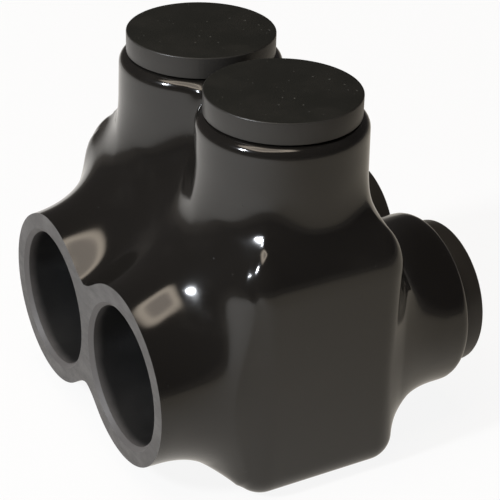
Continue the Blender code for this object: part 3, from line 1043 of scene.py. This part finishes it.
shape = bmesh.new()
add_block_form(shape, segments=BLOCK_EDGE_STEPS)
block = add_object("drilled_block", shape)
cutters = []
for place in port_places:
    wire_bore = bored("wire bore", WIRE_BORE_RADIUS, block_low.y, block_high.y, BORE_CHAMFER, BORE_CHAMFER)
    cutters.append(place_at(wire_bore, place, 0.0, wire_axis, "rear"))
    tapped = threaded("tapped hole", hole_radius + THREAD_DEPTH, wire_axis, tap_top, tap_limit)
    mouth = bored("tapped mouth", hole_radius + DRILL_EXTRA, wire_axis, block_high.z, 0.0, SCREW_HOLE_CHAMFER)
    cutters.append(place_at(tapped, place, 0.0, 0.0))
    cutters.append(place_at(mouth, place, 0.0, 0.0))
cut_all(block, cutters)
block.data.materials.append(SAWN_ALUMINIUM)
finish_piece(block, "housing", "terminal_block", METAL_SHARP)
print("block:", len(block.data.polygons), "faces")

# %% [markdown]
# ## The stage
#
# A white table, a soft window of light overhead and a small lamp in front and above. The gloss of the cover
# shows the room: the table as the grey of its upright walls, the dark room as the black of its shoulders, and
# the lights as bright marks on lips and corners.
#
# The table is white where the camera sees it. Its mirror image in the gloss is darker to the right of the
# object and behind it, and fades with distance, as a lit table does in a dark room.

# %% Lay the table
FLOOR_SIZE = 6.0
FLOOR_WHITE = (0.88, 0.86, 0.84, 1.0)
FLOOR_GRAIN_SIZE = 0.02
TABLE_NEAR_LIGHT = (1.0, 0.97, 0.93, 1.0)
TABLE_IN_SHADE = (0.48, 0.43, 0.35, 1.0)
TABLE_FAR = (0.17, 0.155, 0.14, 1.0)
SHADE_TOWARDS_X, SHADE_TOWARDS_Y = 0.29, 0.42
SHADE_EDGE = 0.06
TABLE_FADE_FROM, TABLE_FADE_TO = 0.08, 0.95
SHADOW_SHARE = 0.10
SHADOW_FADE_FROM, SHADOW_FADE_TO = 0.15, 0.60
WHITE = grey(1.0)


def white_floor():
    material = bpy.data.materials.new("white table")
    graph = Graph(material)
    seen, mirrored, through = (graph.node("ShaderNodeLightPath", output=name)
                               for name in ("Is Camera Ray", "Is Glossy Ray", "Is Transmission Ray"))
    grain = graph.noise(FLOOR_GRAIN_SIZE, detail=3.0)
    paint = graph.node("ShaderNodeBsdfDiffuse", {}, {"Color": graph.mix(0.2 * grain, FLOOR_WHITE, WHITE)})
    towards_rear = SHADE_TOWARDS_X * graph.along("X") + SHADE_TOWARDS_Y * graph.along("Y")
    away = graph.node("ShaderNodeVectorMath", {"operation": "LENGTH"}, {0: graph.place()}, "Value")
    near = graph.mix(graph.step(towards_rear, -SHADE_EDGE, SHADE_EDGE), TABLE_NEAR_LIGHT, TABLE_IN_SHADE)
    table = graph.mix(graph.step(away, TABLE_FADE_FROM, TABLE_FADE_TO), near, TABLE_FAR)
    seen_colour = graph.mix(mirrored, WHITE, table)
    glow = graph.node("ShaderNodeEmission", {}, {"Color": seen_colour, "Strength": 1.0})
    past_shadow = graph.step(away, SHADOW_FADE_FROM, SHADOW_FADE_TO)
    glowing = (1.0 - SHADOW_SHARE) + SHADOW_SHARE * past_shadow
    share = glowing * (seen + mirrored + through).clamp()
    surface = graph.node("ShaderNodeMixShader", {}, {0: share, 1: paint, 2: glow})
    graph.node("ShaderNodeOutputMaterial", {}, {"Surface": surface})
    return material


shape = bmesh.new()
bmesh.ops.create_grid(shape, x_segments=1, y_segments=1, size=FLOOR_SIZE / 2)
floor = add_object("table", shape)
floor.data.materials.append(white_floor())
floor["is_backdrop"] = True
print("table:", FLOOR_SIZE, "m wide")

# %% [markdown]
# The overhead light is painted on the world by direction, because its edges have to be soft. It is an oblong
# with round corners: the fourth powers of the distances from its middle grow steeply near its edge, and a
# smooth step on their sum fades the light out. Its middle is dimmer than its rim, as in a softbox with its
# lamps along the edges.

# %% Paint the room
ROOM_DARK = (0.070, 0.064, 0.062, 1.0)
HORIZON_FROM, HORIZON_TO = -0.03, 0.16
WINDOW_RIM = (4.6, 4.0, 3.3, 1.0)
WINDOW_MIDDLE = (2.4, 2.1, 1.8, 1.0)
WINDOW_ASIDE = 0.01
WINDOW_AHEAD = -0.23
WINDOW_HALF_WIDTH = 0.25
WINDOW_HALF_LENGTH = 0.33


def room_world():
    world = bpy.data.worlds.new("room")
    bpy.context.scene.world = world
    graph = Graph(world)
    direct = graph.node("ShaderNodeLightPath", output="Is Camera Ray")
    through = graph.node("ShaderNodeLightPath", output="Is Transmission Ray")
    direction = graph.node("ShaderNodeTexCoord", output="Generated")
    across, along, height = (graph.node("ShaderNodeSeparateXYZ", {}, {0: direction}, axis) for axis in "XYZ")
    aside = (across - WINDOW_ASIDE).magnitude() * (1.0 / WINDOW_HALF_WIDTH)
    ahead = (along - WINDOW_AHEAD).magnitude() * (1.0 / WINDOW_HALF_LENGTH)
    from_middle = aside * aside * aside * aside + ahead * ahead * ahead * ahead
    window = graph.step(from_middle, 2.2, 0.4) * graph.step(height, 0.3, 0.6)
    light = graph.mix(graph.step(from_middle, 0.01, 0.40), WINDOW_MIDDLE, WINDOW_RIM)
    room = graph.mix(graph.step(height, HORIZON_FROM, HORIZON_TO), TABLE_FAR, ROOM_DARK)
    lit = graph.mix(window, room, light)
    backdrop = graph.mix((direct + through).clamp(), lit, WHITE)
    surface = graph.node("ShaderNodeBackground", {}, {"Color": backdrop, "Strength": 1.0})
    graph.node("ShaderNodeOutputWorld", {}, {"Surface": surface})
    return world


print("world:", room_world().name)

# %% [markdown]
# The small lamp makes the sharp marks on the shoulder and the sleeves. An area light has real edges, so the
# gloss shows it as a spot. It stands in front of the object and a little to its right.

# %% Hang the lamp
LAMP_AZIMUTH = 6.0
LAMP_ELEVATION = 37.0
LAMP_DISTANCE = 0.9
LAMP_WIDTH = 0.085
LAMP_HEIGHT = 0.16
LAMP_POWER = 7.0
LAMP_COLOUR = (0.90, 0.94, 1.0)
LAMP_AIM_HEIGHT = 0.04


def add_light(name, azimuth, elevation, distance, width, height, power, colour):
    """An oval area light that faces the object, placed as seen from it."""
    data = bpy.data.lights.new(name, "AREA")
    data.shape = "ELLIPSE"
    data.size = width
    data.size_y = height
    data.energy = power
    data.color = colour
    light = bpy.data.objects.new(name, data)
    bpy.context.scene.collection.objects.link(light)
    around, up = math.radians(azimuth), math.radians(elevation)
    away = Vector((math.sin(around) * math.cos(up), -math.cos(around) * math.cos(up), math.sin(up)))
    light.location = Vector((0.0, 0.0, LAMP_AIM_HEIGHT)) + distance * away
    light.rotation_euler = away.to_track_quat("Z", "Y").to_euler()
    return light


lamp = add_light("front lamp", LAMP_AZIMUTH, LAMP_ELEVATION, LAMP_DISTANCE, LAMP_WIDTH, LAMP_HEIGHT,
                 LAMP_POWER, LAMP_COLOUR)
bpy.context.scene.view_settings.view_transform = "Standard"
print("lamp at", [round(place, 2) for place in lamp.location])

# %% [markdown]
# ## Sizes
#
# The dressed model's box is compared with the solid model's box, and the largest difference is printed.

# %% Compare the two boxes and finish
low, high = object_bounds()
farthest = max((low - cad_low).length, (high - cad_high).length)
print("largest difference in mm:", round(1000 * farthest, 3))
